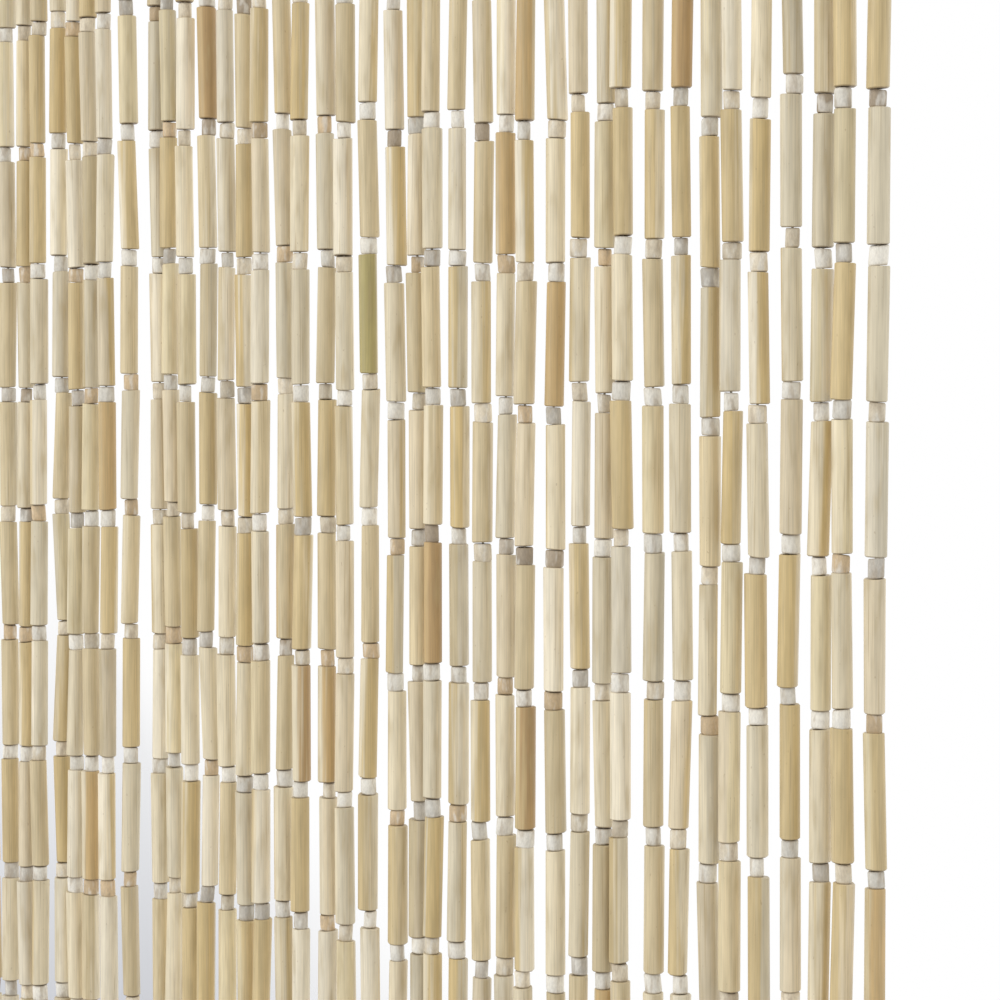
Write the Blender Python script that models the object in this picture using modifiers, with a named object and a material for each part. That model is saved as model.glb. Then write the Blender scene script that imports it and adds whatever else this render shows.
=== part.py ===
"""Bamboo bead curtain.

Ninety strings of bamboo tubes and small beads hang side by side from a narrow
wooden strip. Each string is a four-sided rod along the line in which it hangs,
and its root is fused into the strip.

Frame: metres, +Z up. The origin is the middle of the strip's top face. The
width runs along X, and the front looks towards -Y.
"""
import math
import random
from typing import NamedTuple

import bmesh
import bpy

MM = 0.001

# Heading strip
STRIP_WIDTH = 900 * MM
STRIP_HEIGHT = 16 * MM
STRIP_DEPTH = 12 * MM
STRIP_EDGE = 1 * MM

# Strings: a tube and a bead are one unit
STRING_COUNT = 90
STRING_PITCH = 10 * MM
UNIT_COUNT = 43
TUBE_LENGTH = 40 * MM
TUBE_WIDTH = 5.9 * MM
BEAD_HEIGHT = 5.5 * MM
THREAD_GAP = 0.25 * MM
UNIT_LENGTH = TUBE_LENGTH + BEAD_HEIGHT + 2 * THREAD_GAP

# Mean distance from the strip's underside to the first tube
FIRST_TUBE = 8 * MM
# How deep a root sits in the strip
ROOT_DEPTH = 8 * MM

# Heights at which the hang of a string is given
HIGH_LEVEL = -598 * MM
MIDDLE_LEVEL = -732 * MM
LOW_LEVEL = -873 * MM
LOWER_LEVELS = (-1250 * MM, -1630 * MM)

# The strings stand off their even places along this heading, from +X to +Y
OFFSET_HEADING = math.radians(39.2)

# Spread of the strings past the table, and of every string below its levels
SPREAD_SEED = 41
SHIFT_SPREAD = 1.3
SHIFT_LIMIT = 2.6
DRIFT_LIMIT = 0.6
DROP_LIMIT = 6.0

BAMBOO_COLOUR = (0.604, 0.502, 0.319, 1.0)
BAMBOO_ROUGHNESS = 0.5


class Hang(NamedTuple):
    """How one string hangs, in millimetres.

    high, middle and low are how far it stands off its even place at the three
    levels. drop is how much lower its beads hang than the mean.
    """

    high: float
    middle: float
    low: float
    drop: float


# The strings from the right-hand edge inwards
RIGHT_HANGS = (
    Hang(high=0.2, middle=0.3, low=0.4, drop=0.0),
    Hang(high=-0.8, middle=-1.6, low=-0.9, drop=-0.7),
    Hang(high=1.8, middle=0.5, low=0.7, drop=0.4),
    Hang(high=0.4, middle=0.2, low=0.3, drop=-5.8),
    Hang(high=-1.1, middle=-1.4, low=-0.8, drop=1.1),
    Hang(high=-1.3, middle=-1.1, low=-1.8, drop=-2.1),
    Hang(high=0.1, middle=0.5, low=0.2, drop=5.6),
    Hang(high=-0.2, middle=-0.6, low=-0.7, drop=-4.1),
    Hang(high=-1.2, middle=-0.7, low=-0.7, drop=-3.5),
    Hang(high=-2.8, middle=-2.9, low=-3.1, drop=-4.9),
    Hang(high=-0.2, middle=-0.3, low=-0.5, drop=-1.1),
    Hang(high=-0.5, middle=0.0, low=-0.4, drop=-4.5),
    Hang(high=-0.1, middle=0.0, low=0.1, drop=3.2),
    Hang(high=-2.0, middle=-2.3, low=-2.6, drop=3.1),
    Hang(high=-0.7, middle=-0.5, low=-1.0, drop=0.3),
    Hang(high=-0.5, middle=-0.5, low=-1.2, drop=2.7),
    Hang(high=-1.4, middle=-0.6, low=-1.2, drop=-2.0),
    Hang(high=-2.2, middle=-2.2, low=-1.8, drop=-2.3),
    Hang(high=0.2, middle=0.8, low=1.0, drop=-0.6),
    Hang(high=0.1, middle=1.0, low=0.9, drop=2.9),
    Hang(high=-1.1, middle=-0.7, low=-1.1, drop=-6.9),
    Hang(high=-1.9, middle=-1.8, low=-1.8, drop=-0.9),
    Hang(high=-0.9, middle=-0.8, low=-0.7, drop=-3.2),
    Hang(high=-3.0, middle=-2.0, low=-2.8, drop=-2.4),
    Hang(high=-1.5, middle=-0.2, low=-1.7, drop=-5.1),
    Hang(high=-2.4, middle=-2.0, low=-2.2, drop=-2.7),
    Hang(high=-0.9, middle=-0.7, low=-0.6, drop=-1.2),
    Hang(high=0.1, middle=0.1, low=-0.1, drop=-3.4),
    Hang(high=0.2, middle=0.3, low=-0.6, drop=-5.0),
    Hang(high=-0.9, middle=-0.1, low=0.6, drop=-1.7),
    Hang(high=0.0, middle=1.4, low=1.8, drop=-5.5),
    Hang(high=3.1, middle=3.8, low=3.6, drop=-2.3),
    Hang(high=-1.2, middle=-0.2, low=-0.6, drop=-5.3),
    Hang(high=-2.9, middle=-1.8, low=-2.2, drop=-0.7),
    Hang(high=-1.9, middle=-1.2, low=-1.9, drop=-0.1),
    Hang(high=-0.4, middle=0.5, low=-0.9, drop=0.7),
    Hang(high=0.3, middle=0.8, low=0.7, drop=-3.8),
    Hang(high=-0.7, middle=-1.1, low=-1.3, drop=-1.2),
    Hang(high=1.0, middle=1.0, low=0.3, drop=0.1),
    Hang(high=0.0, middle=0.7, low=0.9, drop=0.0),
)


def clear_scene():
    """Remove what the scene holds."""
    for obj in list(bpy.data.objects):
        bpy.data.objects.remove(obj, do_unlink=True)


def new_collection(name):
    """Make a collection in the scene and return it."""
    collection = bpy.data.collections.new(name)
    bpy.context.scene.collection.children.link(collection)
    return collection


def bamboo_material():
    """Make the straw-coloured bamboo of the tubes and the strip."""
    material = bpy.data.materials.new("bamboo")
    material.use_nodes = True
    shader = material.node_tree.nodes["Principled BSDF"]
    shader.inputs["Base Color"].default_value = BAMBOO_COLOUR
    shader.inputs["Roughness"].default_value = BAMBOO_ROUGHNESS
    shader.inputs["Metallic"].default_value = 0.0
    return material


def within(value, limit):
    """Keep a value between minus and plus the limit."""
    return max(-limit, min(limit, value))


def all_hangs():
    """Return the hang of every string: the table's, then seeded ones like them."""
    spread = random.Random(SPREAD_SEED)
    hangs = list(RIGHT_HANGS)
    while len(hangs) < STRING_COUNT:
        shift = within(spread.gauss(0.0, SHIFT_SPREAD), SHIFT_LIMIT)
        hangs.append(
            Hang(
                high=shift,
                middle=shift + spread.uniform(-DRIFT_LIMIT, DRIFT_LIMIT),
                low=shift + spread.uniform(-DRIFT_LIMIT, DRIFT_LIMIT),
                drop=spread.uniform(-DROP_LIMIT, DROP_LIMIT),
            )
        )
    return hangs


def string_path(number, hang, drifts):
    """Return the points down the middle of one string, from its root to its end.

    number counts the strings from the right-hand edge, from 0, and drifts are
    its last shifts, at the lower levels and at its end.
    """
    even_x = (STRING_COUNT - 1) * STRING_PITCH / 2 - number * STRING_PITCH
    underside = -STRIP_HEIGHT
    end = underside - FIRST_TUBE - UNIT_COUNT * UNIT_LENGTH - hang.drop * MM
    levels = (underside + ROOT_DEPTH, underside, HIGH_LEVEL, MIDDLE_LEVEL, LOW_LEVEL)
    shifts = (0.0, 0.0, hang.high, hang.middle, hang.low)
    points = []
    for level, shift in zip(levels + LOWER_LEVELS + (end,), shifts + tuple(drifts)):
        x = even_x + shift * MM * math.cos(OFFSET_HEADING)
        y = shift * MM * math.sin(OFFSET_HEADING)
        points.append((x, y, level))
    return points


def make_strings(collection):
    """Make the strings as one mesh of separate four-sided rods."""
    drift = random.Random(SPREAD_SEED + 1)
    curve = bpy.data.curves.new("strings", "CURVE")
    curve.dimensions = "3D"
    curve.bevel_depth = TUBE_WIDTH / math.sqrt(2)
    curve.bevel_resolution = 0
    curve.use_fill_caps = True
    for number, hang in enumerate(all_hangs()):
        drifts = [hang.low]
        for _ in range(len(LOWER_LEVELS)):
            drifts.append(drifts[-1] + drift.uniform(-DRIFT_LIMIT, DRIFT_LIMIT))
        points = string_path(number, hang, drifts)
        spline = curve.splines.new("POLY")
        spline.points.add(len(points) - 1)
        for target, point in zip(spline.points, points):
            target.co = (*point, 1.0)
            target.tilt = math.radians(45)
    wire = bpy.data.objects.new("string_lines", curve)
    collection.objects.link(wire)
    bpy.context.view_layer.update()
    evaluated = wire.evaluated_get(bpy.context.evaluated_depsgraph_get())
    mesh = bpy.data.meshes.new_from_object(evaluated)
    mesh.name = "strings"
    strings = bpy.data.objects.new("strings", mesh)
    strings.matrix_world = wire.matrix_world
    collection.objects.link(strings)
    bpy.data.objects.remove(wire, do_unlink=True)

    work = bmesh.new()
    work.from_mesh(mesh)
    bmesh.ops.remove_doubles(work, verts=work.verts, dist=0.01 * MM)
    bmesh.ops.recalc_face_normals(work, faces=work.faces)
    work.to_mesh(mesh)
    work.free()
    return strings


def make_strip(collection):
    """Make the heading strip, a bar with slightly bevelled edges."""
    mesh = bpy.data.meshes.new("bead_curtain")
    work = bmesh.new()
    bmesh.ops.create_cube(work, size=1.0)
    bmesh.ops.scale(work, vec=(STRIP_WIDTH, STRIP_DEPTH, STRIP_HEIGHT), verts=work.verts)
    bmesh.ops.translate(work, vec=(0, 0, -STRIP_HEIGHT / 2), verts=work.verts)
    work.to_mesh(mesh)
    work.free()
    strip = bpy.data.objects.new("bead_curtain", mesh)
    collection.objects.link(strip)
    edges = strip.modifiers.new("soft edges", "BEVEL")
    edges.width = STRIP_EDGE
    edges.segments = 1
    return strip


def join_strings(strip, strings):
    """Fuse the strings' roots into the strip."""
    strings.hide_render = True
    strings.display_type = "WIRE"
    union = strip.modifiers.new("strings", "BOOLEAN")
    union.operation = "UNION"
    union.solver = "EXACT"
    union.object = strings


def main():
    """Build the curtain."""
    clear_scene()
    parts = new_collection("bead curtain")
    cutters = new_collection("cutters")
    strip = make_strip(parts)
    join_strings(strip, make_strings(cutters))
    strip.data.materials.append(bamboo_material())


main()
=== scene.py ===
"""Bamboo bead curtain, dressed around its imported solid.

Ninety strings of bamboo tubes and pale pith beads hang from a narrow wooden
strip. The tubes, the beads, the threads and the strip are separate meshes, all
worked out from the lines in which the strings hang. Lengths are in metres.
"""
import logging
import math
import random
from abc import ABC, abstractmethod
from dataclasses import dataclass, field
from enum import Enum

import bpy
import numpy as np
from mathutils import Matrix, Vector


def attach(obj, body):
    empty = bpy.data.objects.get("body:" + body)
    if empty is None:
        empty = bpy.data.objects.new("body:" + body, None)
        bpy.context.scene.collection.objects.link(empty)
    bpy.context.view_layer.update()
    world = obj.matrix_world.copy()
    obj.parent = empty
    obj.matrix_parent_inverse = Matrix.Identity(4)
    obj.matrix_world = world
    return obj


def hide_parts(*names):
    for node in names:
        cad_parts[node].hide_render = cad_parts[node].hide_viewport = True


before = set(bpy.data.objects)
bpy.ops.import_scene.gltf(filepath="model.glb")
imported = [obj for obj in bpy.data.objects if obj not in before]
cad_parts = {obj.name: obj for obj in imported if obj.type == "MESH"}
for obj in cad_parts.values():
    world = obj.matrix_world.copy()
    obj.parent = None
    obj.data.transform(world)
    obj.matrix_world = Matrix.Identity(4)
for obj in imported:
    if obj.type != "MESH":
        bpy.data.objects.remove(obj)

Array = np.ndarray
Draw = np.random.Generator
Piece = bpy.types.Object
Material = bpy.types.Material
Socket = bpy.types.NodeSocket
Triple = tuple[float, float, float]
Colour = Triple

MM = 0.001
CAD_NODE = "bead_curtain"
BODY = "root"
# How far from zero a solid may lie in its material's noise, in millimetres
GRAIN_REACH = 400.0
# The end, upper or lower, that each of a tube's or bead's rings belongs to
END_OF_RING = (0, 0, 1, 1, 1, 0)

log = logging.getLogger("bead curtain")


@dataclass(frozen=True)
class Hang:
    """How one string hangs, in millimetres.

    high, middle and low are how far it stands off its even place at the three
    levels. drop is how much lower its beads hang than the mean.
    """

    high: float
    middle: float
    low: float
    drop: float


# The strings from the right-hand edge inwards, as the solid has them: how each
# hangs at the high, the middle and the low level, and its drop
RIGHT_HANGS = (
    Hang(0.2, 0.3, 0.4, 0.0),
    Hang(-0.8, -1.6, -0.9, -0.7),
    Hang(1.8, 0.5, 0.7, 0.4),
    Hang(0.4, 0.2, 0.3, -5.8),
    Hang(-1.1, -1.4, -0.8, 1.1),
    Hang(-1.3, -1.1, -1.8, -2.1),
    Hang(0.1, 0.5, 0.2, 5.6),
    Hang(-0.2, -0.6, -0.7, -4.1),
    Hang(-1.2, -0.7, -0.7, -3.5),
    Hang(-2.8, -2.9, -3.1, -4.9),
    Hang(-0.2, -0.3, -0.5, -1.1),
    Hang(-0.5, 0.0, -0.4, -4.5),
    Hang(-0.1, 0.0, 0.1, 3.2),
    Hang(-2.0, -2.3, -2.6, 3.1),
    Hang(-0.7, -0.5, -1.0, 0.3),
    Hang(-0.5, -0.5, -1.2, 2.7),
    Hang(-1.4, -0.6, -1.2, -2.0),
    Hang(-2.2, -2.2, -1.8, -2.3),
    Hang(0.2, 0.8, 1.0, -0.6),
    Hang(0.1, 1.0, 0.9, 2.9),
    Hang(-1.1, -0.7, -1.1, -6.9),
    Hang(-1.9, -1.8, -1.8, -0.9),
    Hang(-0.9, -0.8, -0.7, -3.2),
    Hang(-3.0, -2.0, -2.8, -2.4),
    Hang(-1.5, -0.2, -1.7, -5.1),
    Hang(-2.4, -2.0, -2.2, -2.7),
    Hang(-0.9, -0.7, -0.6, -1.2),
    Hang(0.1, 0.1, -0.1, -3.4),
    Hang(0.2, 0.3, -0.6, -5.0),
    Hang(-0.9, -0.1, 0.6, -1.7),
    Hang(0.0, 1.4, 1.8, -5.5),
    Hang(3.1, 3.8, 3.6, -2.3),
    Hang(-1.2, -0.2, -0.6, -5.3),
    Hang(-2.9, -1.8, -2.2, -0.7),
    Hang(-1.9, -1.2, -1.9, -0.1),
    Hang(-0.4, 0.5, -0.9, 0.7),
    Hang(0.3, 0.8, 0.7, -3.8),
    Hang(-0.7, -1.1, -1.3, -1.2),
    Hang(1.0, 1.0, 0.3, 0.1),
    Hang(0.0, 0.7, 0.9, 0.0),
)


class Tone(Enum):
    """The colours that bamboo tubes come in, as linear red, green and blue."""

    STRAW = (0.669, 0.581, 0.404)
    CREAM = (0.730, 0.653, 0.493)
    BEIGE = (0.586, 0.481, 0.291)
    ROSE = (0.622, 0.527, 0.359)
    SAGE = (0.640, 0.542, 0.337)
    ASH = (0.599, 0.528, 0.378)
    HONEY = (0.549, 0.426, 0.219)
    GOLD = (0.544, 0.411, 0.193)
    OLIVE = (0.398, 0.334, 0.134)
    TAN = (0.512, 0.358, 0.163)
    BROWN = (0.409, 0.268, 0.117)


class BeadTone(Enum):
    """The colours that pith beads come in, as linear red, green and blue."""

    CHALK = (0.74, 0.70, 0.61)
    BONE = (0.675, 0.595, 0.455)
    GREY = (0.535, 0.495, 0.425)
    BISCUIT = (0.595, 0.455, 0.285)
    UMBER = (0.40, 0.33, 0.245)


# How often each tone turns up, as a tube's own and as its vein's
TUBE_SHARES = {
    Tone.STRAW: (0.28, 0.20),
    Tone.CREAM: (0.23, 0.09),
    Tone.BEIGE: (0.16, 0.20),
    Tone.ROSE: (0.09, 0.10),
    Tone.SAGE: (0.07, 0.10),
    Tone.ASH: (0.10, 0.06),
    Tone.HONEY: (0.07, 0.18),
    Tone.GOLD: (0.0, 0.06),
    Tone.OLIVE: (0.0, 0.0),
    Tone.TAN: (0.0, 0.01),
    Tone.BROWN: (0.0, 0.0),
}
BEAD_SHARES = {
    BeadTone.CHALK: 0.42,
    BeadTone.BONE: 0.27,
    BeadTone.GREY: 0.14,
    BeadTone.BISCUIT: 0.13,
    BeadTone.UMBER: 0.04,
}


@dataclass(frozen=True)
class Marked:
    """A tube that stands out: its string from the right edge, its row and its tones."""

    string: int
    row: int
    tone: Tone
    vein: Tone
    # How far to the right of the side seen the vein's colour lies, in degrees
    turn: float = 0.0


# Row 0 is the unit that hangs at CurtainPlan.row_zero. The last number is the turn
MARKED_TUBES = (
    Marked(1, 0, Tone.BEIGE, Tone.HONEY, -30),
    Marked(1, 1, Tone.ASH, Tone.ASH),
    Marked(1, 2, Tone.ASH, Tone.ASH),
    Marked(1, 6, Tone.BEIGE, Tone.TAN, 50),
    Marked(2, 5, Tone.BEIGE, Tone.HONEY),
    Marked(4, 1, Tone.STRAW, Tone.ASH),
    Marked(4, 4, Tone.ROSE, Tone.GOLD, -45),
    Marked(5, 1, Tone.STRAW, Tone.GOLD, 10),
    Marked(6, 3, Tone.BEIGE, Tone.GOLD, -60),
    Marked(8, 0, Tone.TAN, Tone.BROWN, 40),
    Marked(8, 2, Tone.STRAW, Tone.GOLD, 70),
    Marked(10, 0, Tone.CREAM, Tone.HONEY, 50),
    Marked(10, 1, Tone.BEIGE, Tone.HONEY, -50),
    Marked(10, 3, Tone.HONEY, Tone.HONEY),
    Marked(13, 2, Tone.TAN, Tone.TAN),
    Marked(14, 0, Tone.BEIGE, Tone.TAN, -40),
    Marked(14, 1, Tone.CREAM, Tone.GOLD, 70),
    Marked(14, 5, Tone.HONEY, Tone.BROWN, 50),
    Marked(15, 1, Tone.STRAW, Tone.TAN, 5),
    Marked(15, 2, Tone.CREAM, Tone.STRAW),
    Marked(16, 5, Tone.STRAW, Tone.GOLD, 50),
    Marked(17, 2, Tone.HONEY, Tone.ASH, 70),
    Marked(17, 7, Tone.ASH, Tone.GOLD, -60),
    Marked(18, 4, Tone.TAN, Tone.BROWN, 50),
    Marked(18, 7, Tone.STRAW, Tone.GOLD, 45),
    Marked(20, 1, Tone.CREAM, Tone.GOLD, 60),
    Marked(20, 6, Tone.HONEY, Tone.BEIGE, 60),
    Marked(21, 1, Tone.BEIGE, Tone.BEIGE),
    Marked(21, 2, Tone.SAGE, Tone.OLIVE),
    Marked(21, 5, Tone.STRAW, Tone.GOLD, 60),
    Marked(23, 3, Tone.BEIGE, Tone.HONEY),
    Marked(23, 5, Tone.STRAW, Tone.TAN, 60),
    Marked(24, 0, Tone.BEIGE, Tone.GOLD, -50),
    Marked(24, 3, Tone.STRAW, Tone.GOLD, 35),
    Marked(24, 5, Tone.STRAW, Tone.BROWN, 75),
    Marked(24, 6, Tone.BEIGE, Tone.HONEY, 10),
    Marked(27, 1, Tone.HONEY, Tone.HONEY),
    Marked(27, 4, Tone.BEIGE, Tone.GOLD, 45),
    Marked(27, 6, Tone.CREAM, Tone.ASH),
    Marked(29, 0, Tone.TAN, Tone.BROWN, 60),
    Marked(29, 7, Tone.ASH, Tone.GOLD),
    Marked(30, 6, Tone.STRAW, Tone.GOLD, 20),
    Marked(31, 1, Tone.HONEY, Tone.HONEY),
    Marked(34, 3, Tone.HONEY, Tone.TAN, 30),
    Marked(35, 5, Tone.BEIGE, Tone.BEIGE),
    Marked(35, 6, Tone.STRAW, Tone.TAN, 60),
    Marked(36, 0, Tone.HONEY, Tone.HONEY),
    Marked(37, 0, Tone.HONEY, Tone.GOLD),
    Marked(37, 2, Tone.CREAM, Tone.ASH),
    Marked(37, 6, Tone.HONEY, Tone.GOLD),
    Marked(38, 0, Tone.BEIGE, Tone.HONEY),
    Marked(38, 1, Tone.BEIGE, Tone.HONEY, 40),
    Marked(40, 6, Tone.HONEY, Tone.HONEY),
)


@dataclass(frozen=True)
class Askew:
    """A tube that hangs askew, with its string and row counted as for Marked.

    top and end are how far its upper and its lower end stand to the right of
    where they would be, along the plan's heading, in millimetres.
    """

    string: int
    row: int
    top: float
    end: float


# String, row, upper end and lower end
ASKEW_TUBES = (
    Askew(1, 5, -0.8, 0.1),
    Askew(4, 2, -0.8, 0.1),
    Askew(4, 4, -0.6, -1.1),
    Askew(5, 4, -0.7, -0.7),
    Askew(8, 3, -0.1, 0.5),
    Askew(8, 4, 0.9, 1.5),
    Askew(8, 5, 1.3, -0.8),
    Askew(13, 3, -0.7, -0.4),
    Askew(13, 4, -0.7, -0.7),
    Askew(13, 5, -0.7, -0.1),
    Askew(13, 6, -0.8, -0.5),
    Askew(20, 4, 0.1, -1.0),
    Askew(29, 5, 0.4, 1.9),
    Askew(29, 6, 1.6, 0.7),
    Askew(37, 3, 1.3, -0.1),
    Askew(37, 4, 0.0, 1.3),
    Askew(37, 5, 1.3, 0.4),
    Askew(37, 6, 0.4, 0.6),
    Askew(38, 3, 0.2, -0.7),
)


@dataclass(frozen=True)
class CurtainPlan:
    """The sizes that all of the curtain's pieces share, and its strings' lines."""

    string_count: int = 90
    string_pitch: float = 10 * MM
    unit_count: int = 43
    tube_length: float = 40 * MM
    tube_width: float = 6.55 * MM
    bead_height: float = 5.5 * MM
    thread_gap: float = 0.25 * MM
    first_tube: float = 8 * MM
    strip_height: float = 16 * MM
    # Levels at which a string's shift is given, under the strip
    high: float = -598 * MM
    middle: float = -732 * MM
    low: float = -873 * MM
    lower: tuple[float, float] = (-1250 * MM, -1630 * MM)
    # Plan heading, from +X to +Y, in which a string stands off its even place
    heading: float = math.radians(39.2)
    row_zero: int = 12
    seed: int = 41
    shift_spread: float = 1.3
    shift_limit: float = 2.6
    drift_limit: float = 0.6
    drop_limit: float = 6.0

    @property
    def unit_length(self) -> float:
        """The length of a tube, its bead and the thread at the bead's ends."""
        return self.tube_length + self.bead_height + 2 * self.thread_gap

    def hangs(self) -> list[Hang]:
        """Return every string's hang: the table's, then seeded ones like them.

        Returns:
            One hang for each string, from the right-hand edge inwards.
        """
        spread = random.Random(self.seed)
        found = list(RIGHT_HANGS)
        while len(found) < self.string_count:
            shift = spread.gauss(0.0, self.shift_spread)
            shift = max(-self.shift_limit, min(self.shift_limit, shift))
            found.append(
                Hang(
                    high=shift,
                    middle=shift + spread.uniform(-self.drift_limit, self.drift_limit),
                    low=shift + spread.uniform(-self.drift_limit, self.drift_limit),
                    drop=spread.uniform(-self.drop_limit, self.drop_limit),
                )
            )
        return found

    def index_of(self, unit: Marked | Askew) -> int:
        """Return the number of a unit in a list of all of them, string by string."""
        return (unit.string - 1) * self.unit_count + self.row_zero + unit.row

    def first_tops(self, drop: float | Array) -> float | Array:
        """Return the height of the first tube's upper end, from its drop in mm."""
        return -self.strip_height - self.first_tube - drop * MM

    def levels_and_shifts(self) -> tuple[Array, Array]:
        """Return the levels of each string's points and its shift at each.

        Returns:
            Two arrays of a row for each string and a column for each point,
            from the strip down, in metres.
        """
        drift = random.Random(self.seed + 1)
        levels, shifts = [], []
        for hang in self.hangs():
            drifts = [hang.low]
            for _ in self.lower:
                drifts.append(drifts[-1] + drift.uniform(-self.drift_limit, self.drift_limit))
            end = self.first_tops(hang.drop) - self.unit_count * self.unit_length
            seen = (self.high, self.middle, self.low)
            levels.append([0.0, -self.strip_height, *seen, *self.lower, end])
            shifts.append([0.0, 0.0, hang.high, hang.middle, hang.low, *drifts])
        return np.array(levels), np.array(shifts) * MM

    def line_at(self, heights: Array) -> Array:
        """Return where the strings' lines pass through the given heights.

        A string's line is straight between its levels, so its shift is read
        off piece by piece, and the shift then goes along the plan heading.

        Args:
            heights: a row of heights for each string, in metres.

        Returns:
            The points, with a last axis of x, y and z.
        """
        levels, shifts = self.levels_and_shifts()
        rows = zip(heights, levels, shifts)
        shift = np.array([np.interp(-row, -level, off) for row, level, off in rows])
        number = np.arange(self.string_count)[:, None]
        even = ((self.string_count - 1) / 2 - number) * self.string_pitch
        x = even + shift * math.cos(self.heading)
        y = shift * math.sin(self.heading)
        return np.stack((x, y, heights), axis=-1)


@dataclass
class Threading:
    """Where every tube and bead sits on its string.

    Each bead's middle lies one unit under the last, give or take a little, and
    each tube fills the room between two beads but for the thread that shows.
    Tubes and beads stray sideways on their thread, as far as the next string
    leaves room.
    """

    plan: CurtainPlan
    seed: int = 7
    bead_wander: float = 0.22 * MM
    bead_height_spread: float = 0.30 * MM
    # How many times its spread a bead's height may be off
    height_limit: float = 1.6
    # Thread seen above and below a bead, as shares of the plan's gap
    above_range: tuple[float, float] = (0.6, 1.5)
    below_range: tuple[float, float] = (0.1, 0.6)
    tube_stray: float = 0.42 * MM
    bead_stray: float = 0.22 * MM
    # How far a bead follows the tube ends above and below it
    bead_follow: float = 0.5
    bead_lean: float = 0.10 * MM
    least_room: float = 0.12 * MM
    most_room: float = 0.62 * MM
    bead_tops: Array = field(init=False)
    bead_ends: Array = field(init=False)
    tube_tops: Array = field(init=False)
    tube_ends: Array = field(init=False)

    def __post_init__(self) -> None:
        """Work out the ends of every tube and bead."""
        plan, draw = self.plan, np.random.default_rng(self.seed)
        shape = (plan.string_count, plan.unit_count)
        first = plan.first_tops(np.array([hang.drop for hang in plan.hangs()])[:, None])
        half = plan.bead_height / 2
        middle = first - np.arange(plan.unit_count) * plan.unit_length
        middle = middle - plan.tube_length - plan.thread_gap - half
        middle = middle + draw.uniform(-1, 1, shape) * self.bead_wander
        uneven = draw.normal(0, 1, shape).clip(-self.height_limit, self.height_limit)
        half = half + uneven * self.bead_height_spread / 2
        upper, lower = middle + half, middle - half
        above = plan.thread_gap * draw.uniform(*self.above_range, shape)
        below = plan.thread_gap * draw.uniform(*self.below_range, shape)
        tube_top = np.concatenate((first, lower[:, :-1] - below[:, :-1]), axis=1)
        room = self.room(middle)
        tube_top_stray = self.stray(self.tube_stray, draw, room)
        tube_end_stray = self.stray(self.tube_stray, draw, room)
        next_stray = np.roll(tube_top_stray, -1, axis=1)
        followed = self.bead_follow * (tube_end_stray + next_stray) / 2
        bead_stray = followed + self.stray(self.bead_stray, draw, room)
        bead_lean = self.stray(self.bead_lean, draw, room)
        askew_top, askew_end = self.askew()
        bead_place = bead_stray + (askew_end + np.roll(askew_top, -1, axis=1)) / 2
        self.tube_tops = plan.line_at(tube_top) + tube_top_stray + askew_top
        self.tube_ends = plan.line_at(upper + above) + tube_end_stray + askew_end
        self.bead_tops = plan.line_at(upper) + bead_place + bead_lean
        self.bead_ends = plan.line_at(lower) + bead_place - bead_lean

    def askew(self) -> tuple[Array, Array]:
        """Return how far every tube's upper and lower end stand askew, as offsets.

        Returns:
            The upper ends' and the lower ends' offsets, by string and unit.
        """
        plan = self.plan
        shift = np.zeros((2, plan.string_count * plan.unit_count, 3))
        way = np.array((math.cos(plan.heading), math.sin(plan.heading), 0.0)) * MM
        for tube in ASKEW_TUBES:
            index = plan.index_of(tube)
            shift[0, index] = way * tube.top
            shift[1, index] = way * tube.end
        top, end = shift.reshape(2, plan.string_count, plan.unit_count, 3)
        return top, end

    def room(self, heights: Array) -> Array:
        """Return how far a tube may stray before it could touch the next string's.

        Args:
            heights: a height for each unit of each string, in metres.

        Returns:
            The room of each unit, in metres.
        """
        line = self.plan.line_at(heights)[..., :2]
        apart = np.linalg.norm(np.diff(line, axis=0), axis=-1)
        wall = np.full((1, heights.shape[1]), np.inf)
        nearest = np.minimum(np.concatenate((wall, apart)), np.concatenate((apart, wall)))
        return ((nearest - self.plan.tube_width) / 2).clip(self.least_room, self.most_room)

    def stray(self, spread: float, draw: Draw, room: Array) -> Array:
        """Return level offsets of this spread, none longer than its room.

        Args:
            spread: the spread in x and in y, in metres.
            draw: the random draws, taken in a fixed order.
            room: how long the offset of each unit may be, in metres.

        Returns:
            The offsets by string and unit, with a last axis of x, y and z.
        """
        offset = draw.normal(0, spread, (*room.shape, 2))
        length = np.linalg.norm(offset, axis=-1)
        offset = offset * np.minimum(1.0, room / length)[..., None]
        return np.concatenate((offset, np.zeros((*room.shape, 1))), axis=-1)


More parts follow.
